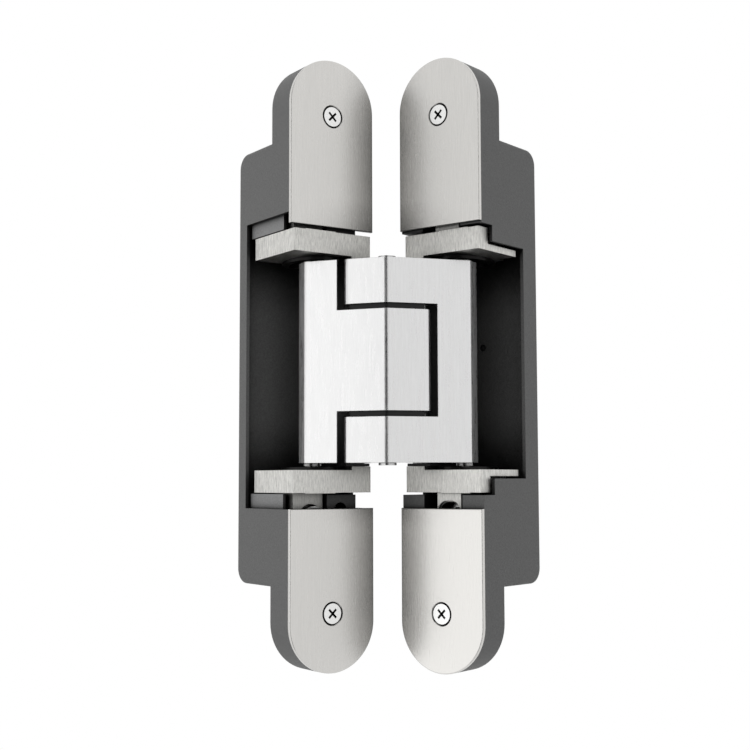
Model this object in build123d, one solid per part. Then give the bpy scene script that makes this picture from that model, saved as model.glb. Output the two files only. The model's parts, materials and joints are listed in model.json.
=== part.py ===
from build123d import *
from math import atan, atan2, cos, degrees, hypot, radians, sin
import os

# Concealed door hinge, adjustable in three directions, modelled partly open.
# Row frame: origin at the middle of the frame leaf's four fixing holes, in the plane where
# its end flanges seat, +Z up along the hinge, +X across the leaf towards the knuckle side,
# +Y into the frame. Both leaves are drawn in leaf coordinates and the door leaf is mirrored:
# u is the distance across the face from the outer edge, d the depth behind the face.

# Leaf outline
LENGTH = 200.0
WIDTH = 32.0
FLANGE_DEPTH = 12.1
BODY_DEPTH = 34.5
BODY_HALF_HEIGHT = 72.7
BODY_CORNER = 5.0
BODY_EDGE = 1.2
OUTER_WALL = 1.2
INNER_WALL = 1.4
REAR_WALL = 1.3
COVER_THICKNESS = 1.2

# Openings of the housings
FRAME_WINDOW_FLOOR = 5.7
DOOR_POCKET_ROOM = 0.8
DOOR_WINDOW_FRONT_ROOM = 0.3
DOOR_WINDOW_REAR_ROOM = 2.3
KNUCKLE_CUT_DEPTH = 12.0
FRAME_BAY_FLOOR = 10.5
FRAME_BAY_ROOM = 0.5
FRAME_BAY_WALL = 1.5
DOOR_BAY_FLOOR = 14.5
DOOR_BAY_ROOM = 4.0
DOOR_BAY_GAP = 0.3
DOOR_BAY_SIDE_GAP = 7.2
MOULD_MARK_RADIUS = 1.2
MOULD_MARK_DEPTH = 0.8
MOULD_MARK_ACROSS = 21.4
MOULD_MARK_HEIGHT = 7.0

# Fixing screw holes and cover screws
FIXING_FROM_END = 11.5
FIXING_SPACING = 15.0
FIXING_RADIUS = 2.6
FIXING_HEAD_RADIUS = 5.0
COVER_SCREW_FROM_END = 18.85
COVER_SCREW_RADIUS = 1.5
COVER_SCREW_LENGTH = 9.0
COVER_HEAD_RADIUS = 3.25
COVER_SINK_RADIUS = 3.9
COVER_HEAD_DEPTH = 1.9
CROSS_WIDTH = 0.75
CROSS_SPAN = 3.8
CROSS_DEPTH = 1.3
COVER_EDGE_CLEARANCE = 0.1
COVER_ROUNDING = 0.35

# Linkage: half the opening angle at rest, and what the arms do while the leaves open
HALF_OPENING = 53.17
REST_GAP = 9.1
CLOSED_GAP = 4.0
ARM_TURN_SHARE = 0.30
PIVOT_FROM_EDGE = 3.9
PIVOT_DEPTH = 3.9
DOOR_RECESS = 1.5

# Arms, drawn from the point midway between the two fixed pivots
ARM_HALF_HEIGHT = 33.0
TONGUE_HALF_HEIGHT = 16.4
TONGUE_GAP = 1.9
RIDGE_FORWARD = 17.9
FACET_END_SIDE = 27.0
FACET_END_FORWARD = 9.1
ARM_END_SIDE = 29.4
ARM_END_FORWARD = 4.6
GUIDE_SIDE = 25.2
GUIDE_FORWARD = 2.0
PLATE_THICKNESS = 5.2
TONGUE_REACH = 13.9
BODY_REACH = 16.3
EYE_RADIUS = 3.7
CENTRE_BOSS_RADIUS = 5.0
GUIDE_BOSS_RADIUS = 4.2
RIDGE_RADIUS = 2.6
TONGUE_END_RADIUS = 2.4
FACET_RADIUS = 1.4
EYE_SWING_CLEARANCE = 0.45

# Pins
PIN_RADIUS = 2.5
RUNNING_CLEARANCE = 0.05
SEAT_CLEARANCE = 0.01
GUIDE_TIP_RADIUS = 2.0
GUIDE_TIP_SHORT = 0.8
GUIDE_COLLAR_RADIUS = 3.1
GUIDE_COLLAR_HEIGHT = 1.0
CENTRE_HEAD_RADIUS = 2.9
CENTRE_HEAD_HEIGHT = 0.8
SPACER_CLEARANCE = 0.1
SPACER_INSET = 0.9
SPACER_REACH = 12.0

# Carriers, the brackets that hold the fixed pivot and the guide track
CARRIER_THICKNESS = 7.3
CARRIER_SIDE_GAP = 0.3
CARRIER_REAR = 25.5
CARRIER_END_WALL = 0.7
CARRIER_END_STEP = 2.3
CARRIER_EAR_WALL = 1.1
CARRIER_FRONT_WALL = 1.2
CARRIER_CORNER = 0.7
BOSS_GAP = 1.1
BOSS_RISE = 1.2
BOSS_FROM_PIVOT = 4.5
BOSS_REAR = 7.8
PAD_FROM = 5.7
PAD_TO = 17.2
PAD_RISE = 0.2
PIVOT_PIN_SHORT = 0.4
PIVOT_PLATE_FROM_PIVOT = 6.8
PIVOT_PLATE_GAP = 0.15
DOOR_CARRIER_STEP = 5.5
DOOR_FLANGE_THICKNESS = 2.1
DOOR_FLANGE_REAR = 22.0
DOOR_FLANGE_WIDTH = 7.0

# Guide track inserts
TRACK_CLEARANCE = 0.15
TRACK_WALL = 1.3
TRACK_DEPTH = 3.9
TRACK_FLANGE = 1.0
TRACK_FLANGE_LIP = 1.1
TRACK_STEPS = 8
SURROUND_LINKS = 6

# Side adjustment, in the frame leaf
SIDE_TRAVEL = 3.0
SIDE_SCREW_ACROSS = 10.3
SIDE_SCREW_FROM_CARRIER = 7.8
SIDE_SCREW_HEAD_RADIUS = 3.5
SIDE_SCREW_COVER_GAP = 0.8
SIDE_SCREW_HEAD_HEIGHT = 2.4
SIDE_SCREW_RADIUS = 3.0
SIDE_SCREW_JOURNAL_RADIUS = 2.0
SIDE_SCREW_HEAD_CLEARANCE = 0.7
LUG_FROM = 3.8
LUG_BEYOND_SCREW = 4.6
LUG_COVER_GAP = 0.4
LUG_PLATE_GAP = 0.8
LUG_BLOCK_GAP = 0.6
HEX_FLATS = 4.0
HEX_DEPTH = 1.7

# Height adjustment, in the frame leaf: its travel each way, and how far above the middle
# of that travel the slide stands as modelled, close under the upper cover plate
HEIGHT_TRAVEL = 3.0
HEIGHT_SET = 1.8
BLOCK_WIDTH = 11.2
BLOCK_SIDE_GAP = 3.7
BLOCK_GAP = 0.7
BLOCK_HEIGHT = 13.2
BLOCK_FOOT = 2.6
BLOCK_FRONT = 3.0
PLATE_FROM = 2.65
PLATE_SIDE_GAP = 2.0
PLATE_BEYOND_CLAMP = 3.7
SLIDE_PLATE_THICKNESS = 4.0
SLIDE_CLEARANCE = 0.2
CHEEK_THICKNESS = 1.05
CHEEK_GAP = 0.4
CHEEK_HEIGHT = 11.0
CHEEK_FRONT = 7.0
CHEEK_REAR_GAP = 0.8
SPINDLE_FROM_BLOCK_SIDE = 6.0
SPINDLE_DEPTH = 10.5
SPINDLE_RADIUS = 2.5
SPINDLE_JOURNAL_RADIUS = 1.6
SPINDLE_JOURNAL_LENGTH = 1.5
SPINDLE_BITE = 1.8
WHEEL_HEIGHT = 4.6
WHEEL_RADIUS = 4.3
WHEEL_ROOM = 0.3
TOMMY_HOLE_RADIUS = 0.9
TOMMY_HOLES = 8
TOMMY_HOLE_DEPTH = 2.0
ACCESS_RADIUS = 2.4
NUT_THICKNESS = 5.0
NUT_BESIDE_BLOCK = 0.5
NUT_FRONT = 4.0
FACE_CLEARANCE = 0.05
CLAMP_ACROSS = 9.4
CLAMP_LUG_GAP = 1.05
CLAMP_RADIUS = 1.5
CLAMP_HEAD_RADIUS = 2.75
CLAMP_HEAD_HEIGHT = 3.0
CLAMP_HEX_FLATS = 2.5
CLAMP_HOLE_CLEARANCE = 0.2
CLAMP_FLOOR = 3.0
CLAMP_NUT_HALF = 2.75
CLAMP_NUT_THICKNESS = 2.6
CLAMP_BEYOND_NUT = 1.0

# Depth adjustment, in the door leaf
DEPTH_TRAVEL = 1.0
DOOR_LUG_FROM = 9.6
DOOR_LUG_TO = 18.9
DOOR_LUG_BEYOND_CLAMP = 4.4
DOOR_LUG_FRONT = 0.8
DOOR_LUG_FLOOR_GAP = 1.5
DOOR_CLAMP_FROM_CARRIER = 6.0
DOOR_CLAMP_HEAD_FRONT = 7.0
DOOR_CLAMP_SINK = 0.8
DOOR_CLAMP_THREAD = 8.0

# Places that follow from the sizes above
pivot_u = WIDTH - PIVOT_FROM_EDGE
pocket_depth = BODY_DEPTH - REAR_WALL
fixing_height = LENGTH / 2 - FIXING_FROM_END
cover_screw_height = LENGTH / 2 - COVER_SCREW_FROM_END
tongue_seat = TONGUE_HALF_HEIGHT + TONGUE_GAP

# Heights along the hinge, outwards from the arms
boss_face = ARM_HALF_HEIGHT + BOSS_GAP
carrier_inner = boss_face + BOSS_RISE
carrier_outer = carrier_inner + CARRIER_THICKNESS
pad_face = carrier_outer + PAD_RISE
collar_reach = ARM_HALF_HEIGHT + GUIDE_COLLAR_HEIGHT
guide_tip_reach = carrier_inner + TRACK_DEPTH - GUIDE_TIP_SHORT
top_cover_edge = pad_face + HEIGHT_TRAVEL - HEIGHT_SET + COVER_EDGE_CLEARANCE
bottom_cover_edge = pad_face + HEIGHT_TRAVEL + HEIGHT_SET + COVER_EDGE_CLEARANCE
frame_pocket_half = pad_face + HEIGHT_TRAVEL + HEIGHT_SET + SLIDE_CLEARANCE
side_screw_height = carrier_outer + SIDE_SCREW_FROM_CARRIER
lug_end = side_screw_height + LUG_BEYOND_SCREW
clamp_height = lug_end + CLAMP_LUG_GAP + CLAMP_HEAD_RADIUS
plate_end = clamp_height + PLATE_BEYOND_CLAMP
block_start = carrier_outer + BLOCK_GAP
block_end = block_start + BLOCK_HEIGHT
wheel_start = block_start + BLOCK_FOOT
wheel_end = wheel_start + WHEEL_HEIGHT
journal_start = wheel_start - SPINDLE_JOURNAL_LENGTH
nut_start = block_end + HEIGHT_TRAVEL + BLOCK_GAP
nut_end = nut_start + NUT_THICKNESS
spindle_end = nut_start + HEIGHT_TRAVEL + SPINDLE_BITE
frame_bay_half = spindle_end + HEIGHT_TRAVEL + FRAME_BAY_ROOM
cheek_start = carrier_outer + CHEEK_GAP
cheek_end = cheek_start + CHEEK_HEIGHT
door_pocket_half = carrier_outer + DOOR_POCKET_ROOM
door_window_rear_half = carrier_inner + DOOR_FLANGE_THICKNESS + DOOR_POCKET_ROOM
door_clamp_height = carrier_outer + DOOR_CLAMP_FROM_CARRIER
door_lug_end = door_clamp_height + DOOR_LUG_BEYOND_CLAMP
door_bay_half = door_lug_end + DOOR_BAY_ROOM

# Places across the leaf
carrier_side = OUTER_WALL + CARRIER_SIDE_GAP
carrier_end = pivot_u + PIN_RADIUS + CARRIER_END_WALL
carrier_knuckle_side = carrier_end - CARRIER_END_STEP
boss_from = pivot_u - BOSS_FROM_PIVOT
pivot_plate_from = pivot_u - PIVOT_PLATE_FROM_PIVOT
inner_side = WIDTH - INNER_WALL
plate_to = inner_side - PLATE_SIDE_GAP
block_to = inner_side - BLOCK_SIDE_GAP
block_from = block_to - BLOCK_WIDTH
lug_to = block_from - LUG_BLOCK_GAP
spindle_across = block_to - SPINDLE_FROM_BLOCK_SIDE
nut_from = block_from - NUT_BESIDE_BLOCK
door_bay_to = inner_side - DOOR_BAY_SIDE_GAP
cheek_from = FRAME_BAY_WALL + FACE_CLEARANCE
cheek_to = cheek_from + CHEEK_THICKNESS
door_bay_from = DOOR_LUG_FROM - DEPTH_TRAVEL - DOOR_BAY_GAP
door_clamp_across = (DOOR_LUG_FROM + DOOR_LUG_TO) / 2

# Depths behind the face
carrier_front = PIVOT_DEPTH - PIN_RADIUS - CARRIER_FRONT_WALL
frame_window_depth = BODY_DEPTH - FRAME_WINDOW_FLOOR
frame_bay_depth = BODY_DEPTH - FRAME_BAY_FLOOR
door_bay_depth = BODY_DEPTH - DOOR_BAY_FLOOR
door_lug_rear = door_bay_depth - DOOR_RECESS - DOOR_LUG_FLOOR_GAP
plate_rear = frame_bay_depth - SLIDE_CLEARANCE
plate_front = plate_rear - SLIDE_PLATE_THICKNESS
lug_front = COVER_THICKNESS + SIDE_TRAVEL + LUG_COVER_GAP
lug_rear = plate_front - SIDE_TRAVEL - LUG_PLATE_GAP
side_screw_front = COVER_THICKNESS + SIDE_SCREW_COVER_GAP
side_screw_head_rear = side_screw_front + SIDE_SCREW_HEAD_HEIGHT
lug_bore_depth = side_screw_head_rear + SIDE_TRAVEL + SLIDE_CLEARANCE
cheek_rear = frame_window_depth - CHEEK_REAR_GAP
clamp_nut_front = frame_bay_depth + CLAMP_FLOOR
clamp_nut_rear = clamp_nut_front + CLAMP_NUT_THICKNESS
clamp_reach = clamp_nut_rear + CLAMP_BEYOND_NUT
door_clamp_reach = door_bay_depth + DOOR_CLAMP_THREAD
door_window_front_depth = DOOR_CARRIER_STEP + DOOR_RECESS + DOOR_WINDOW_FRONT_ROOM
door_window_depth = DOOR_FLANGE_REAR + DOOR_RECESS + DOOR_WINDOW_REAR_ROOM

# The linkage at rest and closed
rest = radians(HALF_OPENING)
spread_closed = (CLOSED_GAP + 2 * PIVOT_DEPTH + DOOR_RECESS) / 2
spread_rest = (REST_GAP / 2 + PIVOT_FROM_EDGE * sin(rest)
               + (PIVOT_DEPTH + DOOR_RECESS / 2) * cos(rest))
rest_turn = ARM_TURN_SHARE * rest
lean_rest = atan((cos(rest_turn) - spread_closed / spread_rest) / sin(rest_turn))
lean_closed = lean_rest + rest_turn
pivot_to_centre = spread_rest / cos(lean_rest)
centre = Vector(0, -pivot_to_centre * sin(lean_rest))
far_pivot = Vector(spread_rest, 0)
guide = Vector(-GUIDE_SIDE, -GUIDE_FORWARD)
facet_slope = (RIDGE_FORWARD - FACET_END_FORWARD) / FACET_END_SIDE


def turned(vector, angle):
    """A plan vector turned about Z by an angle in radians."""
    return Vector(vector.X * cos(angle) - vector.Y * sin(angle),
                  vector.X * sin(angle) + vector.Y * cos(angle))


def block(u_range, d_range, z_range):
    """A box in leaf coordinates."""
    size = [high - low for low, high in (u_range, d_range, z_range)]
    middle = [(low + high) / 2 for low, high in (u_range, d_range, z_range)]
    return Pos(middle[0] - WIDTH / 2, middle[1], middle[2]) * Box(*size)


def rod_along_z(u, d, z_range, radius):
    """A round bar along the hinge, in leaf coordinates."""
    height = z_range[1] - z_range[0]
    return Pos(u - WIDTH / 2, d, sum(z_range) / 2) * Cylinder(radius, height)


def rod_into_leaf(u, z, d_range, radius):
    """A round bar square to the face, in leaf coordinates."""
    depth = d_range[1] - d_range[0]
    return Pos(u - WIDTH / 2, sum(d_range) / 2, z) * Rot(90, 0, 0) * Cylinder(radius, depth)


def cone_into_leaf(u, z, d_range, front_radius, rear_radius):
    """A round taper square to the face, in leaf coordinates."""
    depth = d_range[1] - d_range[0]
    taper = Cone(front_radius, rear_radius, depth)
    return Pos(u - WIDTH / 2, sum(d_range) / 2, z) * Rot(-90, 0, 0) * taper


def hex_socket(u, z, d_range, flats):
    """A hexagonal key socket square to the face, in leaf coordinates."""
    outline = RegularPolygon(flats / 2, 6, major_radius=False)
    socket = extrude(outline, d_range[1] - d_range[0])
    return Pos(u - WIDTH / 2, d_range[0], z) * Rot(-90, 0, 0) * socket


def slot_across(u, z, d_range, radius, travel):
    """A round-ended slot square to the face that runs across the leaf by travel each way."""
    return (rod_into_leaf(u - travel, z, d_range, radius)
            + rod_into_leaf(u + travel, z, d_range, radius)
            + block((u - travel, u + travel), d_range, (z - radius, z + radius)))


def slot_along(u, z, d_range, radius, travel):
    """A round-ended slot square to the face that runs along the leaf by travel each way."""
    return (rod_into_leaf(u, z - travel, d_range, radius)
            + rod_into_leaf(u, z + travel, d_range, radius)
            + block((u - radius, u + radius), d_range, (z - travel, z + travel)))


def span(middle, half):
    """The range from half below a middle value to half above it."""
    return middle - half, middle + half


def lower(shape):
    """The piece at the lower end that matches one at the upper end."""
    return mirror(shape, about=Plane.XY)


# Plan of the linkage: the arms' turn and the guide pin's path for each half opening angle
def arm_lean(half_opening):
    return lean_closed - ARM_TURN_SHARE * half_opening


def guide_place(half_opening):
    """The guide pin's centre in leaf coordinates, from the leaf's own centre line."""
    lean = arm_lean(half_opening)
    to_centre = Vector(cos(lean), -sin(lean)) * pivot_to_centre
    from_pivot = to_centre + turned(guide - centre, lean - lean_rest)
    across = from_pivot.X * sin(half_opening) + from_pivot.Y * cos(half_opening)
    inwards = from_pivot.Y * sin(half_opening) - from_pivot.X * cos(half_opening)
    return Vector(pivot_u - WIDTH / 2 + across, PIVOT_DEPTH + inwards)


track_points = [guide_place(radians(90) * step / TRACK_STEPS) for step in range(TRACK_STEPS + 1)]
track_line = Spline(*track_points)


def slot_outline(radius):
    """The guide slot along the pin's path, with round ends."""
    left = []
    right = []
    for step in range(TRACK_STEPS + 1):
        along = track_line % (step / TRACK_STEPS)
        side = Vector(-along.Y, along.X) * radius
        left.append(track_line @ (step / TRACK_STEPS) + side)
        right.append(track_line @ (step / TRACK_STEPS) - side)
    closed_tip = (track_line @ 0) - (track_line % 0) * radius
    open_tip = (track_line @ 1) + (track_line % 1) * radius
    edges = [Spline(*left), ThreePointArc(left[-1], open_tip, right[-1]),
             Spline(*reversed(right)), ThreePointArc(right[0], closed_tip, left[0])]
    return make_face(Curve() + edges)


def surround_outline(radius):
    """A wider band round the same path, built from short round-ended links."""
    outline = Sketch()
    for step in range(SURROUND_LINKS):
        start = track_line @ (step / SURROUND_LINKS)
        run = track_line @ ((step + 1) / SURROUND_LINKS) - start
        link = SlotCenterToCenter(run.length, 2 * radius)
        middle = start + run / 2
        outline = outline + Pos(middle.X, middle.Y) * Rot(0, 0, degrees(atan2(run.Y, run.X))) * link
    return outline


def prism(outline, z_range):
    return Pos(0, 0, z_range[0]) * extrude(outline, z_range[1] - z_range[0])


# Arms
def facet_line(side):
    """How far forward the arms' front facets stand, at a distance from the mid plane."""
    return -RIDGE_FORWARD + facet_slope * side


def plate_back(side):
    return facet_line(side) + PLATE_THICKNESS * hypot(1, facet_slope)


def corner_near(sketch, place):
    return sketch.vertices().sort_by_distance(place)[0]


def arm_body_outline():
    """The full-height end of the frame-side arm, with the guide pin's boss."""
    neck = GUIDE_SIDE - GUIDE_BOSS_RADIUS
    back_corner = Vector(-neck, plate_back(neck))
    points = [(-BODY_REACH, facet_line(BODY_REACH)),
              (-BODY_REACH - PLATE_THICKNESS / 2, plate_back(BODY_REACH + PLATE_THICKNESS / 2)),
              (back_corner.X, back_corner.Y),
              (guide.X + GUIDE_BOSS_RADIUS, guide.Y),
              (guide.X - GUIDE_BOSS_RADIUS, guide.Y),
              (-ARM_END_SIDE, -ARM_END_FORWARD),
              (-FACET_END_SIDE, facet_line(FACET_END_SIDE))]
    outline = Polygon(*points, align=None)
    outline = fillet(corner_near(outline, (-ARM_END_SIDE, -ARM_END_FORWARD)), FACET_RADIUS)
    outline = fillet(corner_near(outline, (-FACET_END_SIDE, facet_line(FACET_END_SIDE))),
                     FACET_RADIUS)
    outline = outline + Pos(guide.X, guide.Y) * Circle(GUIDE_BOSS_RADIUS)
    return outline - Pos(eye_swing.X, eye_swing.Y) * Circle(EYE_RADIUS + EYE_SWING_CLEARANCE)


def arm_tongue_outline():
    """The bent tongue of the frame-side arm, from its body over the ridge to its eye."""
    along = (far_pivot - centre).normalized()
    side = Vector(-along.Y, along.X)
    eye_tangent = far_pivot + side * EYE_RADIUS
    boss_tangent = centre + side * CENTRE_BOSS_RADIUS
    neck = GUIDE_SIDE - GUIDE_BOSS_RADIUS
    front = (TONGUE_REACH, facet_line(TONGUE_REACH))
    points = [(0, -RIDGE_FORWARD), front,
              (far_pivot.X + EYE_RADIUS, far_pivot.Y), (far_pivot.X, far_pivot.Y),
              (eye_tangent.X, eye_tangent.Y), (boss_tangent.X, boss_tangent.Y),
              (boss_tangent.X, plate_back(-boss_tangent.X)),
              (-neck, plate_back(neck)),
              (-neck, facet_line(neck))]
    outline = Polygon(*points, align=None)
    outline = fillet(corner_near(outline, front), TONGUE_END_RADIUS)
    outline = fillet(corner_near(outline, (0, -RIDGE_FORWARD)), RIDGE_RADIUS)
    outline = outline + Pos(far_pivot.X, far_pivot.Y) * Circle(EYE_RADIUS)
    return outline + Pos(centre.X, centre.Y) * Circle(CENTRE_BOSS_RADIUS)


# Where the other arm's eye stands beside this arm when the leaves are fully open
open_lean = arm_lean(radians(90))
eye_swing = centre + turned(Vector(-cos(open_lean), sin(open_lean)) * pivot_to_centre,
                            lean_rest - open_lean)


def pin_hole(place, radius, reach):
    return Pos(place.X, place.Y) * Cylinder(radius, 2 * reach)


def upright(outline, half_height):
    return Pos(0, 0, -half_height) * extrude(outline, 2 * half_height)


def arm_frame_side():
    """The arm whose body stands in the frame leaf and whose tongue is in the middle."""
    arm = upright(arm_body_outline(), ARM_HALF_HEIGHT)
    arm = arm + upright(arm_tongue_outline(), TONGUE_HALF_HEIGHT)
    arm = arm - pin_hole(guide, PIN_RADIUS + SEAT_CLEARANCE, ARM_HALF_HEIGHT)
    arm = arm - pin_hole(centre, PIN_RADIUS + SEAT_CLEARANCE, ARM_HALF_HEIGHT)
    return arm - pin_hole(far_pivot, PIN_RADIUS + RUNNING_CLEARANCE, ARM_HALF_HEIGHT)


def arm_door_side():
    """The arm whose body stands in the door leaf, with an upper and a lower tongue."""
    tongue_height = ARM_HALF_HEIGHT - tongue_seat
    tongue = extrude(arm_tongue_outline(), tongue_height)
    arm = upright(arm_body_outline(), ARM_HALF_HEIGHT)
    arm = arm + Pos(0, 0, tongue_seat) * tongue
    arm = arm + Pos(0, 0, -ARM_HALF_HEIGHT) * tongue
    arm = arm - pin_hole(guide, PIN_RADIUS + SEAT_CLEARANCE, ARM_HALF_HEIGHT)
    arm = arm - pin_hole(centre, PIN_RADIUS + RUNNING_CLEARANCE, ARM_HALF_HEIGHT)
    arm = arm - pin_hole(far_pivot, PIN_RADIUS + RUNNING_CLEARANCE, ARM_HALF_HEIGHT)
    return mirror(arm, about=Plane.YZ)


def centre_pin():
    pin = Cylinder(PIN_RADIUS, 2 * ARM_HALF_HEIGHT)
    for end in (1, -1):
        middle = end * (ARM_HALF_HEIGHT + FACE_CLEARANCE + CENTRE_HEAD_HEIGHT / 2)
        pin = pin + Pos(0, 0, middle) * Cylinder(CENTRE_HEAD_RADIUS, CENTRE_HEAD_HEIGHT)
        neck = end * (ARM_HALF_HEIGHT + FACE_CLEARANCE / 2)
        pin = pin + Pos(0, 0, neck) * Cylinder(PIN_RADIUS, FACE_CLEARANCE)
    return Pos(centre.X, centre.Y) * pin


def tongue_spacer():
    """The dark plate that fills the gap between two tongues, set back from their faces."""
    outline = arm_tongue_outline()
    outline = outline & (Pos(0, SPACER_INSET) * arm_tongue_outline())
    outline = outline & Rectangle(2 * SPACER_REACH, LENGTH)
    outline = outline - Pos(centre.X, centre.Y) * Circle(PIN_RADIUS + SEAT_CLEARANCE)
    outline = outline - Pos(far_pivot.X, far_pivot.Y) * Circle(EYE_RADIUS)
    thickness = TONGUE_GAP - 2 * SPACER_CLEARANCE
    return Pos(0, 0, TONGUE_HALF_HEIGHT + SPACER_CLEARANCE) * extrude(outline, thickness)


def guide_pin():
    """The pin whose two reduced tips slide in the tracks."""
    pin = Cylinder(PIN_RADIUS, 2 * ARM_HALF_HEIGHT)
    for end in (1, -1):
        collar = end * (ARM_HALF_HEIGHT + collar_reach) / 2
        pin = pin + Pos(0, 0, collar) * Cylinder(GUIDE_COLLAR_RADIUS, GUIDE_COLLAR_HEIGHT)
        tip = end * (collar_reach + guide_tip_reach) / 2
        pin = pin + Pos(0, 0, tip) * Cylinder(GUIDE_TIP_RADIUS, guide_tip_reach - collar_reach)
    return Pos(guide.X, guide.Y) * pin


# Carriage pieces, drawn once for the upper end of a leaf
def pivot_pin():
    reach = carrier_outer - PIVOT_PIN_SHORT
    return rod_along_z(pivot_u, PIVOT_DEPTH, (-reach, reach), PIN_RADIUS)


def pivot_plate():
    """The black plate between the arm's tongue and the pivot boss."""
    z_range = (ARM_HALF_HEIGHT + PIVOT_PLATE_GAP, boss_face - FACE_CLEARANCE)
    across = (pivot_plate_from, carrier_end - CARRIER_END_WALL)
    plate = block(across, (carrier_front + FACE_CLEARANCE, BOSS_REAR), z_range)
    return plate - rod_along_z(pivot_u, PIVOT_DEPTH, z_range, PIN_RADIUS + SEAT_CLEARANCE)


def track_insert():
    """The black guide track: a lining in the carrier and a flange towards the arms."""
    slot = GUIDE_TIP_RADIUS + TRACK_CLEARANCE
    lining = slot + TRACK_WALL
    seat = carrier_inner - FACE_CLEARANCE
    insert = prism(surround_outline(lining), (seat, carrier_inner + TRACK_DEPTH))
    insert = insert + prism(surround_outline(lining + TRACK_FLANGE_LIP),
                            (seat - TRACK_FLANGE, seat))
    return insert - prism(slot_outline(slot), (seat - TRACK_FLANGE, carrier_inner + TRACK_DEPTH))


def carrier_plate():
    """The bracket itself, with the pivot boss, the ear round the track and its pocket."""
    z_range = (carrier_inner, carrier_outer)
    lining = GUIDE_TIP_RADIUS + TRACK_CLEARANCE + TRACK_WALL + RUNNING_CLEARANCE
    plate = block((carrier_side, carrier_knuckle_side), (carrier_front, CARRIER_REAR), z_range)
    plate = plate + block((boss_from, carrier_end), (carrier_front, BOSS_REAR), z_range)
    plate = plate + block((boss_from, carrier_end), (carrier_front, BOSS_REAR),
                          (boss_face, carrier_inner))
    end = carrier_end - WIDTH / 2
    corners = [edge for edge in plate.edges().filter_by(Axis.Z)
               if abs(edge.center().X - end) < CARRIER_CORNER]
    plate = fillet(corners, CARRIER_CORNER)
    plate = plate + prism(surround_outline(lining + CARRIER_EAR_WALL), z_range)
    plate = plate + block((PAD_FROM, PAD_TO), (carrier_front, BOSS_REAR),
                          (carrier_outer, carrier_outer + PAD_RISE))
    plate = plate - prism(surround_outline(lining),
                          (carrier_inner, carrier_inner + TRACK_DEPTH + FACE_CLEARANCE))
    return plate - rod_along_z(pivot_u, PIVOT_DEPTH, (boss_face, carrier_outer),
                               PIN_RADIUS + SEAT_CLEARANCE)


def frame_carrier():
    """The frame leaf's bracket, with the lug that the side adjusting screw moves."""
    carrier = carrier_plate() + block((LUG_FROM, lug_to), (lug_front, lug_rear),
                                      (carrier_outer, lug_end))
    bore = (lug_front, lug_bore_depth)
    carrier = carrier - rod_into_leaf(SIDE_SCREW_ACROSS, side_screw_height, bore,
                                      SIDE_SCREW_HEAD_RADIUS + SIDE_SCREW_HEAD_CLEARANCE)
    thread = (lug_front, lug_rear)
    return carrier - rod_into_leaf(SIDE_SCREW_ACROSS, side_screw_height, thread,
                                   SIDE_SCREW_RADIUS + RUNNING_CLEARANCE)


def door_carrier():
    """The door leaf's bracket: thin along its outer side, with the depth clamp's lug."""
    strip = (carrier_side, carrier_side + DOOR_FLANGE_WIDTH)
    carrier = carrier_plate()
    carrier = carrier - block(strip, (DOOR_CARRIER_STEP, CARRIER_REAR),
                              (carrier_inner + DOOR_FLANGE_THICKNESS, carrier_outer + PAD_RISE))
    carrier = carrier - block(strip, (DOOR_FLANGE_REAR, CARRIER_REAR),
                              (carrier_inner, carrier_outer))
    carrier = carrier + block((DOOR_LUG_FROM, DOOR_LUG_TO), (DOOR_LUG_FRONT, door_lug_rear),
                              (carrier_outer, door_lug_end))
    head_seat = DOOR_CLAMP_HEAD_FRONT + CLAMP_HEAD_HEIGHT - DOOR_RECESS + FACE_CLEARANCE
    sinks = ((DOOR_LUG_FRONT + DOOR_CLAMP_SINK,
              CLAMP_HEAD_RADIUS + CLAMP_HOLE_CLEARANCE + DOOR_CLAMP_SINK / 2),
             (head_seat, CLAMP_HEAD_RADIUS + CLAMP_HOLE_CLEARANCE),
             (door_lug_rear, CLAMP_RADIUS + CLAMP_HOLE_CLEARANCE))
    for rear, radius in sinks:
        carrier = carrier - slot_across(door_clamp_across, door_clamp_height,
                                        (DOOR_LUG_FRONT, rear), radius, DEPTH_TRAVEL)
    return carrier


# Adjusters of the frame leaf
def side_screw():
    """The captive screw that moves the frame carriers in and out of their housing."""
    screw = rod_into_leaf(SIDE_SCREW_ACROSS, side_screw_height,
                          (side_screw_front, side_screw_head_rear), SIDE_SCREW_HEAD_RADIUS)
    screw = screw + rod_into_leaf(SIDE_SCREW_ACROSS, side_screw_height,
                                  (side_screw_head_rear, plate_front - FACE_CLEARANCE),
                                  SIDE_SCREW_RADIUS)
    screw = screw + rod_into_leaf(SIDE_SCREW_ACROSS, side_screw_height,
                                  (plate_front - FACE_CLEARANCE, plate_rear),
                                  SIDE_SCREW_JOURNAL_RADIUS)
    socket = (side_screw_front, side_screw_front + HEX_DEPTH)
    return screw - hex_socket(SIDE_SCREW_ACROSS, side_screw_height, socket, HEX_FLATS)


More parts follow.
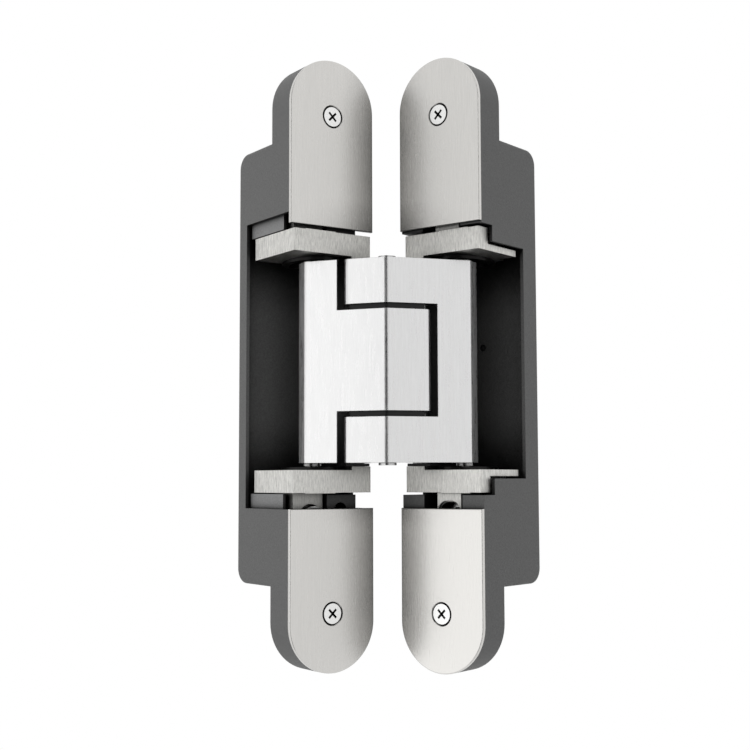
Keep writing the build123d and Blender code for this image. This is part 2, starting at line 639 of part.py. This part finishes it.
def slide_block():
    """The block that slides along the leaf and carries the side screw and the spindle wheel."""
    piece = block((PLATE_FROM, plate_to), (plate_front, plate_rear), (block_start, plate_end))
    piece = piece + block((block_from, block_to), (BLOCK_FRONT, plate_front),
                          (block_start, block_end))
    room = WHEEL_RADIUS + WHEEL_ROOM
    piece = piece - rod_along_z(spindle_across, SPINDLE_DEPTH,
                                (wheel_start - FACE_CLEARANCE, wheel_end + FACE_CLEARANCE), room)
    piece = piece - rod_along_z(spindle_across, SPINDLE_DEPTH, (wheel_end, block_end),
                                SPINDLE_RADIUS + RUNNING_CLEARANCE)
    piece = piece - rod_along_z(spindle_across, SPINDLE_DEPTH,
                                (journal_start - FACE_CLEARANCE, wheel_start),
                                SPINDLE_JOURNAL_RADIUS + RUNNING_CLEARANCE)
    piece = piece - rod_into_leaf(spindle_across, wheel_start + WHEEL_HEIGHT / 2,
                                  (BLOCK_FRONT, SPINDLE_DEPTH), ACCESS_RADIUS)
    piece = piece - rod_into_leaf(CLAMP_ACROSS, clamp_height, (plate_front, plate_rear),
                                  CLAMP_RADIUS + SEAT_CLEARANCE)
    return piece - rod_into_leaf(SIDE_SCREW_ACROSS, side_screw_height, (plate_front, plate_rear),
                                 SIDE_SCREW_JOURNAL_RADIUS + RUNNING_CLEARANCE)


def slide_cheek():
    """The grey cheek of the slide, which fills the window beyond the carrier."""
    return block((cheek_from, cheek_to), (CHEEK_FRONT, cheek_rear), (cheek_start, cheek_end))


def height_spindle():
    """The spindle that moves the slide block along the leaf, with its wheel in the block."""
    spindle = rod_along_z(spindle_across, SPINDLE_DEPTH, (wheel_end, spindle_end), SPINDLE_RADIUS)
    spindle = spindle + rod_along_z(spindle_across, SPINDLE_DEPTH, (wheel_start, wheel_end),
                                    WHEEL_RADIUS)
    spindle = spindle + rod_along_z(spindle_across, SPINDLE_DEPTH,
                                    (journal_start, wheel_start), SPINDLE_JOURNAL_RADIUS)
    hole = Rot(90, 0, 0) * Cylinder(TOMMY_HOLE_RADIUS, 2 * TOMMY_HOLE_DEPTH)
    hole = Pos(0, -WHEEL_RADIUS, 0) * hole
    middle = Pos(spindle_across - WIDTH / 2, SPINDLE_DEPTH, wheel_start + WHEEL_HEIGHT / 2)
    for index in range(TOMMY_HOLES):
        spindle = spindle - middle * Rot(0, 0, 360 / TOMMY_HOLES * index) * hole
    return spindle


def spindle_nut():
    """The fixed block at the end of the bay that the height spindle is threaded into."""
    across = (nut_from, inner_side - FACE_CLEARANCE)
    piece = block(across, (NUT_FRONT, plate_front - SLIDE_CLEARANCE), (nut_start, nut_end))
    return piece - rod_along_z(spindle_across, SPINDLE_DEPTH, (nut_start, nut_end),
                               SPINDLE_RADIUS + RUNNING_CLEARANCE)


def clamp_screw(u, z, head_front, reach):
    """A cap screw square to the face, with a hexagonal socket."""
    head_rear = head_front + CLAMP_HEAD_HEIGHT
    screw = rod_into_leaf(u, z, (head_front, head_rear), CLAMP_HEAD_RADIUS)
    screw = screw + rod_into_leaf(u, z, (head_rear, reach), CLAMP_RADIUS)
    return screw - hex_socket(u, z, (head_front, head_front + HEX_DEPTH), CLAMP_HEX_FLATS)


def clamp_nut():
    """The square nut in the frame housing that follows the clamp screw along its slot."""
    nut = block(span(CLAMP_ACROSS, CLAMP_NUT_HALF),
                (clamp_nut_front + FACE_CLEARANCE, clamp_nut_rear),
                span(clamp_height, CLAMP_NUT_HALF))
    return nut - rod_into_leaf(CLAMP_ACROSS, clamp_height, (clamp_nut_front, clamp_reach),
                               CLAMP_RADIUS + SEAT_CLEARANCE)


# Housings and covers
def end_outline():
    """The leaf's long face with its two round ends, seen square on."""
    return Rot(0, 0, 90) * SlotOverall(LENGTH, WIDTH)


def stand_on_face(sketch, d_range):
    """A sketch of the face, pushed from one depth to another."""
    solid = extrude(sketch, d_range[1] - d_range[0])
    return Pos(0, d_range[0], 0) * Rot(-90, 0, 0) * solid


def blank_housing():
    """The casting before its openings: a long flange and a deep middle."""
    depth = (COVER_THICKNESS, BODY_DEPTH)
    body = block((0, WIDTH), depth, (-BODY_HALF_HEIGHT, BODY_HALF_HEIGHT))
    across = body.edges().filter_by(Axis.X).group_by(Axis.Y)[-1]
    body = fillet(across, BODY_CORNER)
    rear = body.faces().sort_by(Axis.Y)[-1]
    body = fillet(rear.edges().filter_by(Axis.Z), BODY_EDGE)
    return body + stand_on_face(end_outline(), (COVER_THICKNESS, FLANGE_DEPTH))


def fixing_places():
    for end in (1, -1):
        for side in (-1, 1):
            yield WIDTH / 2 + side * FIXING_SPACING / 2, end * fixing_height


def housing(pocket_half):
    """A housing with all that both leaves share."""
    piece = blank_housing()
    pocket = (-pocket_half, pocket_half)
    piece = piece - block((OUTER_WALL, inner_side), (0, pocket_depth), pocket)
    piece = piece - block((inner_side, WIDTH), (0, KNUCKLE_CUT_DEPTH), pocket)
    for end in (1, -1):
        piece = piece - rod_into_leaf(WIDTH / 2, end * cover_screw_height,
                                      (COVER_THICKNESS, COVER_SCREW_LENGTH + COVER_THICKNESS),
                                      COVER_SCREW_RADIUS + SEAT_CLEARANCE)
        piece = piece - cone_into_leaf(WIDTH / 2, end * cover_screw_height,
                                       (COVER_THICKNESS, COVER_HEAD_DEPTH),
                                       sink_radius(COVER_THICKNESS), sink_radius(COVER_HEAD_DEPTH))
    for across, height in fixing_places():
        sink_end = COVER_THICKNESS + FIXING_HEAD_RADIUS - FIXING_RADIUS
        piece = piece - rod_into_leaf(across, height, (COVER_THICKNESS, FLANGE_DEPTH),
                                      FIXING_RADIUS)
        piece = piece - cone_into_leaf(across, height, (COVER_THICKNESS, sink_end),
                                       FIXING_HEAD_RADIUS, FIXING_RADIUS)
    return piece


def frame_housing():
    """The frame leaf's housing, with bays for the slide, its cheeks and the clamp's nut."""
    piece = housing(frame_pocket_half)
    middle = -HEIGHT_SET
    piece = piece - block((0, OUTER_WALL), (0, frame_window_depth),
                          (-frame_pocket_half, frame_pocket_half))
    piece = piece - block((FRAME_BAY_WALL, inner_side), (0, frame_bay_depth),
                          span(middle, frame_bay_half))
    groove_end = cheek_end + HEIGHT_TRAVEL + SLIDE_CLEARANCE
    piece = piece - block((FRAME_BAY_WALL, cheek_to + SLIDE_CLEARANCE),
                          (0, cheek_rear + SLIDE_CLEARANCE), span(middle, groove_end))
    nut_rear = clamp_nut_rear + SLIDE_CLEARANCE
    screw_rear = clamp_reach + SLIDE_CLEARANCE
    for end in (1, -1):
        height = middle + end * clamp_height
        piece = piece - slot_along(CLAMP_ACROSS, height, (frame_bay_depth, screw_rear),
                                   CLAMP_RADIUS + CLAMP_HOLE_CLEARANCE, HEIGHT_TRAVEL)
        nut_half = CLAMP_NUT_HALF + SLIDE_CLEARANCE
        piece = piece - block(span(CLAMP_ACROSS, nut_half), (clamp_nut_front, nut_rear),
                              span(height, nut_half + HEIGHT_TRAVEL))
    return piece


def door_housing():
    """The door leaf's housing, whose window follows the stepped side of its carriers."""
    piece = housing(door_pocket_half)
    front_window = (-door_pocket_half, door_pocket_half)
    rear_window = (-door_window_rear_half, door_window_rear_half)
    piece = piece - block((0, OUTER_WALL), (0, door_window_front_depth), front_window)
    piece = piece - block((0, OUTER_WALL), (0, door_window_depth), rear_window)
    piece = piece - block((door_bay_from, door_bay_to), (0, door_bay_depth),
                          (-door_bay_half, door_bay_half))
    for end in (1, -1):
        piece = piece - rod_into_leaf(door_clamp_across, end * door_clamp_height,
                                      (door_bay_depth, door_clamp_reach + SLIDE_CLEARANCE),
                                      CLAMP_RADIUS + SEAT_CLEARANCE)
    return piece - rod_into_leaf(MOULD_MARK_ACROSS, MOULD_MARK_HEIGHT,
                                 (pocket_depth, pocket_depth + MOULD_MARK_DEPTH),
                                 MOULD_MARK_RADIUS)


def sink_radius(depth):
    """The cover screw's countersink at a depth behind the face."""
    narrowing = (COVER_SINK_RADIUS - COVER_SCREW_RADIUS) / (COVER_HEAD_DEPTH + SLIDE_CLEARANCE)
    return COVER_SINK_RADIUS - narrowing * depth


def cover(edge):
    """The upper cover plate, from its edge above the carriers to the leaf's round end."""
    plate = stand_on_face(end_outline(), (0, COVER_THICKNESS))
    plate = plate & block((0, WIDTH), (0, COVER_THICKNESS), (edge, LENGTH / 2))
    front = plate.faces().sort_by(Axis.Y)[0]
    plate = fillet(front.edges(), COVER_ROUNDING)
    return plate - cone_into_leaf(WIDTH / 2, cover_screw_height, (0, COVER_THICKNESS),
                                  sink_radius(0), sink_radius(COVER_THICKNESS))


def cover_screw():
    """A countersunk screw with a cross recess."""
    head = cone_into_leaf(WIDTH / 2, cover_screw_height, (FACE_CLEARANCE, COVER_HEAD_DEPTH),
                          COVER_HEAD_RADIUS, COVER_SCREW_RADIUS)
    shank = rod_into_leaf(WIDTH / 2, cover_screw_height,
                          (COVER_HEAD_DEPTH, COVER_SCREW_LENGTH), COVER_SCREW_RADIUS)
    screw = head + shank
    for turn in (45, -45):
        arm = Box(CROSS_SPAN, CROSS_DEPTH, CROSS_WIDTH)
        screw = screw - Pos(0, CROSS_DEPTH / 2, cover_screw_height) * Rot(0, turn, 0) * arm
    return screw


# Placing: the frame leaf stands in the row frame, the rest follows from the pivots
mid_axis = Vector(sin(rest), -cos(rest))
mid_origin = Vector(pivot_u - WIDTH / 2, PIVOT_DEPTH) + mid_axis * spread_rest
mid_frame = Location((mid_origin.X, mid_origin.Y, 0), (0, 0, HALF_OPENING - 90))


def door_frame(recess):
    """Where a door leaf drawn like the frame leaf goes, with its face ahead of the carriers."""
    local_pivot = Vector(WIDTH / 2 - pivot_u, PIVOT_DEPTH + recess)
    origin = far_pivot - turned(local_pivot, rest - radians(90))
    return mid_frame * Location((origin.X, origin.Y, 0), (0, 0, HALF_OPENING - 90))


def on_arms(shape):
    return mid_frame * shape


def on_door_carriage(shape):
    return door_frame(0) * mirror(shape, about=Plane.YZ)


def on_door_leaf(shape):
    return door_frame(DOOR_RECESS) * mirror(shape, about=Plane.YZ)


def both_ends(name, upper_piece, place):
    """The same piece at the upper and the lower end of a leaf."""
    return {name + "_top": place(upper_piece), name + "_bottom": place(lower(upper_piece))}


def as_drawn(shape):
    return shape


def at_middle_of_travel(shape):
    return Pos(0, 0, -HEIGHT_SET) * shape


def mirrored_over(shape):
    return mirror(shape, about=Plane.YZ)


nodes = {
    "frame_housing": frame_housing(),
    "door_housing": on_door_leaf(door_housing()),
    "frame_cover_top": cover(top_cover_edge),
    "frame_cover_bottom": lower(cover(bottom_cover_edge)),
    "door_cover_top": on_door_leaf(cover(top_cover_edge)),
    "door_cover_bottom": on_door_leaf(lower(cover(bottom_cover_edge))),
    "arm_frame_side": on_arms(arm_frame_side()),
    "arm_door_side": on_arms(arm_door_side()),
    "centre_pin": on_arms(centre_pin()),
    "pivot_pin_frame": pivot_pin(),
    "pivot_pin_door": on_door_carriage(pivot_pin()),
    "guide_pin_frame": on_arms(guide_pin()),
    "guide_pin_door": on_arms(mirrored_over(guide_pin())),
}
frame_clamp = clamp_screw(CLAMP_ACROSS, clamp_height, plate_front - CLAMP_HEAD_HEIGHT, clamp_reach)
door_clamp = clamp_screw(door_clamp_across, door_clamp_height, DOOR_CLAMP_HEAD_FRONT,
                         door_clamp_reach)
nodes.update(both_ends("tongue_spacer", tongue_spacer(), on_arms))
nodes.update(both_ends("frame_cover_screw", cover_screw(), as_drawn))
nodes.update(both_ends("door_cover_screw", cover_screw(), on_door_leaf))
nodes.update(both_ends("frame_carrier", frame_carrier(), as_drawn))
nodes.update(both_ends("door_carrier", door_carrier(), on_door_carriage))
nodes.update(both_ends("frame_track", track_insert(), as_drawn))
nodes.update(both_ends("door_track", track_insert(), on_door_carriage))
nodes.update(both_ends("frame_pivot_plate", pivot_plate(), as_drawn))
nodes.update(both_ends("door_pivot_plate", pivot_plate(), on_door_carriage))
nodes.update(both_ends("side_screw", side_screw(), as_drawn))
nodes.update(both_ends("slide_block", slide_block(), as_drawn))
nodes.update(both_ends("slide_cheek", slide_cheek(), as_drawn))
nodes.update(both_ends("height_spindle", height_spindle(), as_drawn))
nodes.update(both_ends("spindle_nut", spindle_nut(), at_middle_of_travel))
nodes.update(both_ends("frame_clamp_screw", frame_clamp, as_drawn))
nodes.update(both_ends("frame_clamp_nut", clamp_nut(), as_drawn))
nodes.update(both_ends("door_clamp_screw", door_clamp, on_door_leaf))

os.makedirs("parts", exist_ok=True)
for node_name, solid in nodes.items():
    export_step(Pos(0, -FLANGE_DEPTH, 0) * solid, f"parts/{node_name}.step")
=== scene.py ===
import bpy
import json
from math import cos, radians, sin
from mathutils import Matrix, Vector


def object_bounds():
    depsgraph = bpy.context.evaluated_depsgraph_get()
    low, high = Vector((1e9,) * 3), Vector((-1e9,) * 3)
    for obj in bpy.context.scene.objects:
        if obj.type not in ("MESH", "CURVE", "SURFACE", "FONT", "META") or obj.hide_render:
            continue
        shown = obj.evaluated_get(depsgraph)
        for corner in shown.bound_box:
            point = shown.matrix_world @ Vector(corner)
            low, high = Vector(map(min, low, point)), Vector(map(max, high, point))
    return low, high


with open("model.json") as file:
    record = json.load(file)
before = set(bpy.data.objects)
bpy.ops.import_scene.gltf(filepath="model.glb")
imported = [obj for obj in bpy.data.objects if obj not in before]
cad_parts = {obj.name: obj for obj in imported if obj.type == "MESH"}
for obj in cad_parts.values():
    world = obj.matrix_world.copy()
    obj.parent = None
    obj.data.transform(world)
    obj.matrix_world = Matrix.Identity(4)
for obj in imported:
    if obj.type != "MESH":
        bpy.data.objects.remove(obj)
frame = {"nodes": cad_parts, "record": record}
CAD_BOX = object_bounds()

scene = bpy.context.scene
scene.view_settings.view_transform = "Standard"

# Camera: a long lens from in front of the knuckle, a little below mid-height, looking slightly up
EYE = Vector((-0.22377, -0.35748, -0.03855))
ACROSS = Vector((0.57147, 0.82062, 0.0)).normalized()
PITCH = radians(4.729)
ROLL = radians(-0.162)
LENS_MM = 60.944
SENSOR_MM = 36.0


def add_camera():
    data = bpy.data.cameras.new("camera")
    data.lens = LENS_MM
    data.sensor_width = SENSOR_MM
    data.clip_start = 0.01
    data.clip_end = 10.0
    data.dof.use_dof = False
    camera = bpy.data.objects.new("camera", data)
    scene.collection.objects.link(camera)
    forward = ACROSS * cos(PITCH) + Vector((0.0, 0.0, sin(PITCH)))
    turn = forward.to_track_quat("-Z", "Y").to_matrix().to_4x4()
    camera.matrix_world = Matrix.Translation(EYE) @ turn @ Matrix.Rotation(ROLL, 4, "Z")
    scene.camera = camera


add_camera()


# Materials: edges and noise
BROKEN_EDGE = 0.0002
SCREW_BROKEN_EDGE = 0.00003
EDGE_SAMPLES = 4
PAINTED_SHADE_SAMPLES = 8
NOISE_LOW = 0.3
NOISE_HIGH = 0.7
CAST_SPECKLE = 0.18
CAST_SHINE = 0.3

# Painted shade in nooks, recesses and inner edges, darkening the base colour by ambient occlusion:
# reach in metres, openness from and to, darkest share of the colour
METAL_PAINTED_SHADE = (0.005, 0.2, 0.75, 0.2)
CARRIER_PAINTED_SHADE = (0.007, 0.3, 0.95, 0.15)
# Covers: a long reach, so the inner edges of the plates next to the arms are painted darker, as
# shade
COVER_PAINTED_SHADE = (0.022, 0.68, 1.0, 0.12)
# Screws: the recesses are painted nearly black, as shade
SCREW_PAINTED_SHADE = (0.003, 0.6, 0.98, 0.01)
# Housing: the pockets are painted dark, as shade
CAST_PAINTED_SHADE = (0.02, 0.5, 0.98, 0.02)


def new_material(name, color, metallic, roughness):
    material = bpy.data.materials.new(name)
    material.use_nodes = True
    shader = material.node_tree.nodes["Principled BSDF"]
    shader.inputs["Base Color"].default_value = (*color, 1.0)
    shader.inputs["Metallic"].default_value = metallic
    shader.inputs["Roughness"].default_value = roughness
    return material


def add_node(material, kind, **inputs):
    node = material.node_tree.nodes.new(kind)
    for name, value in inputs.items():
        node.inputs[name].default_value = value
    return node


def map_range(material, source, low, high, to_low, to_high):
    """A value taken from one range to another and held there at both ends."""
    node = material.node_tree.nodes.new("ShaderNodeMapRange")
    for name, value in (("From Min", low), ("From Max", high),
                        ("To Min", to_low), ("To Max", to_high)):
        node.inputs[name].default_value = value
    material.node_tree.links.new(source, node.inputs["Value"])
    return node.outputs["Result"]


def times(material, first, second):
    """The product of two values."""
    node = material.node_tree.nodes.new("ShaderNodeMath")
    node.operation = "MULTIPLY"
    material.node_tree.links.new(first, node.inputs[0])
    material.node_tree.links.new(second, node.inputs[1])
    return node.outputs["Value"]


def painted_nook_shade(material, reach, low, high, darkest):
    """Painted shade: how much of the colour is left where other faces close in on the spot, darker
    as if in shade.
    """
    shade = add_node(material, "ShaderNodeAmbientOcclusion", Distance=reach)
    shade.samples = PAINTED_SHADE_SAMPLES
    return map_range(material, shade.outputs["AO"], low, high, darkest, 1.0)


def tint(material, color, tone):
    """The base colour, lighter or darker by the tone, which carries the grain and the painted
    shade.
    """
    node = material.node_tree.nodes.new("ShaderNodeVectorMath")
    node.operation = "SCALE"
    node.inputs[0].default_value = color
    shader = material.node_tree.nodes["Principled BSDF"]
    material.node_tree.links.new(tone, node.inputs["Scale"])
    material.node_tree.links.new(node.outputs["Vector"], shader.inputs["Base Color"])


def relief(material, height, depth, broken_edge=BROKEN_EDGE):
    """A fine bump over edges that catch the light as if they were slightly broken."""
    shader = material.node_tree.nodes["Principled BSDF"]
    edge = add_node(material, "ShaderNodeBevel", Radius=broken_edge)
    edge.samples = EDGE_SAMPLES
    bump = add_node(material, "ShaderNodeBump", Strength=1.0, Distance=depth)
    material.node_tree.links.new(height, bump.inputs["Height"])
    material.node_tree.links.new(edge.outputs["Normal"], bump.inputs["Normal"])
    material.node_tree.links.new(bump.outputs["Normal"], shader.inputs["Normal"])


def around(material, noise, middle, spread):
    """The noise as a value that swings round a middle."""
    return map_range(material, noise.outputs["Fac"], NOISE_LOW, NOISE_HIGH,
                     middle - spread, middle + spread)


def brushed(name, color, roughness, scale, spread, depth, contrast, painted_shade,
            broken_edge=BROKEN_EDGE):
    """A metal brushed along Z.

    Noise drawn out lengthwise by the scale (in turns a metre) swings the roughness by spread
    and the colour by contrast, and is a bump of the given depth.
    """
    material = new_material(name, color, 1.0, roughness)
    tree = material.node_tree
    shader = tree.nodes["Principled BSDF"]
    place = tree.nodes.new("ShaderNodeTexCoord")
    stretch = add_node(material, "ShaderNodeMapping", Scale=scale)
    noise = add_node(material, "ShaderNodeTexNoise", Scale=1.0, Detail=6.0, Roughness=0.7)
    tree.links.new(place.outputs["Object"], stretch.inputs["Vector"])
    tree.links.new(stretch.outputs["Vector"], noise.inputs["Vector"])
    tree.links.new(around(material, noise, roughness, spread), shader.inputs["Roughness"])
    grain = around(material, noise, 1.0, contrast)
    # Base colour: the brushing grain times painted shade that darkens nooks and recesses
    tint(material, color, times(material, grain, painted_nook_shade(material, *painted_shade)))
    relief(material, noise.outputs["Fac"], depth, broken_edge)
    return material


def cast(name, color, roughness, grain, depth):
    """A casting or moulding with a fine pebbled surface."""
    material = new_material(name, color, 0.0, roughness)
    tree = material.node_tree
    tree.nodes["Principled BSDF"].inputs["Specular IOR Level"].default_value = CAST_SHINE
    place = tree.nodes.new("ShaderNodeTexCoord")
    noise = add_node(material, "ShaderNodeTexNoise", Scale=grain, Detail=3.0, Roughness=0.6)
    tree.links.new(place.outputs["Object"], noise.inputs["Vector"])
    speckle = around(material, noise, 1.0, CAST_SPECKLE)
    # Base colour: the speckle times painted shade that darkens pockets and recesses
    tint(material, color, times(material, speckle, painted_nook_shade(material, *CAST_PAINTED_SHADE)))
    relief(material, noise.outputs["Fac"], depth)
    return material


MATERIALS = {
    "cast_housing": cast("cast_housing", (0.145, 0.145, 0.143), 0.55, 2200.0, 0.00010),
    "satin_cover": brushed("satin_cover", (0.62, 0.61, 0.59), 0.24, (2600.0, 2600.0, 110.0),
                           0.05, 0.000010, 0.05, COVER_PAINTED_SHADE),
    "brushed_carrier": brushed("brushed_carrier", (0.64, 0.635, 0.61), 0.42,
                               (2600.0, 2600.0, 380.0), 0.16, 0.00008, 0.40, CARRIER_PAINTED_SHADE),
    "satin_arm": brushed("satin_arm", (0.72, 0.72, 0.72), 0.30, (1500.0, 1500.0, 90.0),
                         0.06, 0.000014, 0.07, METAL_PAINTED_SHADE),
    "bright_screw": brushed("bright_screw", (0.85, 0.85, 0.84), 0.28, (2600.0, 2600.0, 2600.0),
                            0.05, 0.000006, 0.05, SCREW_PAINTED_SHADE, SCREW_BROKEN_EDGE),
    "bright_pin": brushed("bright_pin", (0.65, 0.65, 0.65), 0.25, (2600.0, 2600.0, 400.0),
                          0.04, 0.000006, 0.05, METAL_PAINTED_SHADE),
    "black_plastic": cast("black_plastic", (0.014, 0.014, 0.014), 0.42, 3500.0, 0.00003),
    "dark_block": cast("dark_block", (0.12, 0.12, 0.12), 0.45, 3000.0, 0.00004),
    "grey_cheek": cast("grey_cheek", (0.28, 0.28, 0.28), 0.5, 3000.0, 0.00005),
}


def paint_nodes():
    """Every node of the CAD gets the material that the record's slot names."""
    slots = {part["node"]: part["material_slot"] for part in frame["record"]["subparts"]}
    for name, obj in frame["nodes"].items():
        material = MATERIALS[slots[name]]
        if not obj.material_slots:
            obj.data.materials.append(material)
        for place in obj.material_slots:
            place.material = material


paint_nodes()


# Light: a white room that the eye and the metal see, dimmer on everything else
WHITE = (1.0, 1.0, 1.0, 1.0)
ROOM_COLOR = (0.98, 0.99, 1.0, 1.0)
ROOM_LEVEL = 0.55
PAPER_COLOR = (0.9, 0.9, 0.9, 1.0)
CLOTH_COLOR = (0.02, 0.02, 0.02)
FLOOR_DROP = 1.0
FLOOR_HALF = 3.0
CORNERS = ((-1, -1), (1, -1), (1, 1), (-1, 1))

# Places round the hinge, seen from the camera
KNUCKLE = Vector((0.0205, -0.0145, 0.0))
TO_EYE = Vector((-ACROSS.x, -ACROSS.y, 0.0))
RIGHT = Vector((ACROSS.y, -ACROSS.x, 0.0))
UP = Vector((0.0, 0.0, 1.0))


def seen_white(tree, lit, shown, out):
    """Shows plain white to the camera and in reflections, and the lit shader to other rays."""
    path = tree.nodes.new("ShaderNodeLightPath")
    shown.inputs["Color"].default_value = WHITE
    shown.inputs["Strength"].default_value = 1.0
    seen = path.outputs["Is Camera Ray"]
    for kind in ("Is Glossy Ray", "Is Transmission Ray"):
        either = tree.nodes.new("ShaderNodeMath")
        either.operation = "MAXIMUM"
        tree.links.new(seen, either.inputs[0])
        tree.links.new(path.outputs[kind], either.inputs[1])
        seen = either.outputs["Value"]
    mix = tree.nodes.new("ShaderNodeMixShader")
    tree.links.new(seen, mix.inputs["Fac"])
    tree.links.new(lit.outputs[0], mix.inputs[1])
    tree.links.new(shown.outputs[0], mix.inputs[2])
    tree.links.new(mix.outputs["Shader"], out.inputs["Surface"])


def add_world():
    world = bpy.data.worlds.new("world")
    world.use_nodes = True
    scene.world = world
    tree = world.node_tree
    tree.nodes.clear()
    lit = tree.nodes.new("ShaderNodeBackground")
    lit.inputs["Color"].default_value = ROOM_COLOR
    lit.inputs["Strength"].default_value = ROOM_LEVEL
    seen_white(tree, lit, tree.nodes.new("ShaderNodeBackground"),
               tree.nodes.new("ShaderNodeOutputWorld"))


def pale_paper():
    paper = bpy.data.materials.new("pale_paper")
    paper.use_nodes = True
    tree = paper.node_tree
    tree.nodes.clear()
    lit = tree.nodes.new("ShaderNodeBsdfDiffuse")
    lit.inputs["Color"].default_value = PAPER_COLOR
    seen_white(tree, lit, tree.nodes.new("ShaderNodeEmission"),
               tree.nodes.new("ShaderNodeOutputMaterial"))
    return paper


def sheet(name, middle, half_width, half_height, material):
    """A flat sheet of the studio, given its middle and the two ways from there to its edges."""
    mesh = bpy.data.meshes.new(name)
    mesh.from_pydata([middle + half_width * x + half_height * y for x, y in CORNERS],
                     [], [range(len(CORNERS))])
    mesh.materials.append(material)
    obj = bpy.data.objects.new(name, mesh)
    scene.collection.objects.link(obj)
    return obj


def add_floor():
    """A pale floor far below the hinge, out of the photograph's frame."""
    middle = Vector((0.0, 0.0, CAD_BOX[0][2] - FLOOR_DROP))
    sheet("floor", middle, Vector((FLOOR_HALF, 0.0, 0.0)), Vector((0.0, FLOOR_HALF, 0.0)),
          pale_paper())


def way_out(azimuth, elevation=0.0):
    """The way from the knuckle at an angle to the right of the camera and up, in degrees."""
    turn = radians(azimuth)
    lift = radians(elevation)
    return (TO_EYE * cos(turn) + RIGHT * sin(turn)) * cos(lift) + UP * sin(lift)


def dark_side(azimuth, distance, width, height):
    """The unlit side of the studio round the camera, which only reflections show."""
    way = way_out(azimuth)
    card = sheet("dark_side", KNUCKLE + way * distance, way.cross(UP) * width / 2,
                 UP * height / 2, new_material("dark_cloth", CLOTH_COLOR, 0.0, 1.0))
    card.visible_camera = False
    card.visible_diffuse = False
    card.visible_shadow = False


def softbox(name, azimuth, elevation, distance, size, energy, in_reflections=True):
    """A soft box aimed at the knuckle."""
    way = way_out(azimuth, elevation)
    data = bpy.data.lights.new(name, "AREA")
    data.shape = "RECTANGLE"
    data.size = size[0]
    data.size_y = size[1]
    data.energy = energy
    light = bpy.data.objects.new(name, data)
    scene.collection.objects.link(light)
    light.visible_glossy = in_reflections
    light.matrix_world = (Matrix.Translation(KNUCKLE + way * distance)
                          @ (-way).to_track_quat("-Z", "Y").to_matrix().to_4x4())


add_world()
add_floor()
dark_side(-11.5, 0.9, 0.60, 1.8)
softbox("left_facet", -43, 0, 0.9, (0.30, 0.8), 0.42)
softbox("right_cover", -76, -13, 0.9, (0.4, 0.5), 0.30)
softbox("left_wall", -108, 12, 0.8, (0.3, 0.6), 1.1, in_reflections=False)
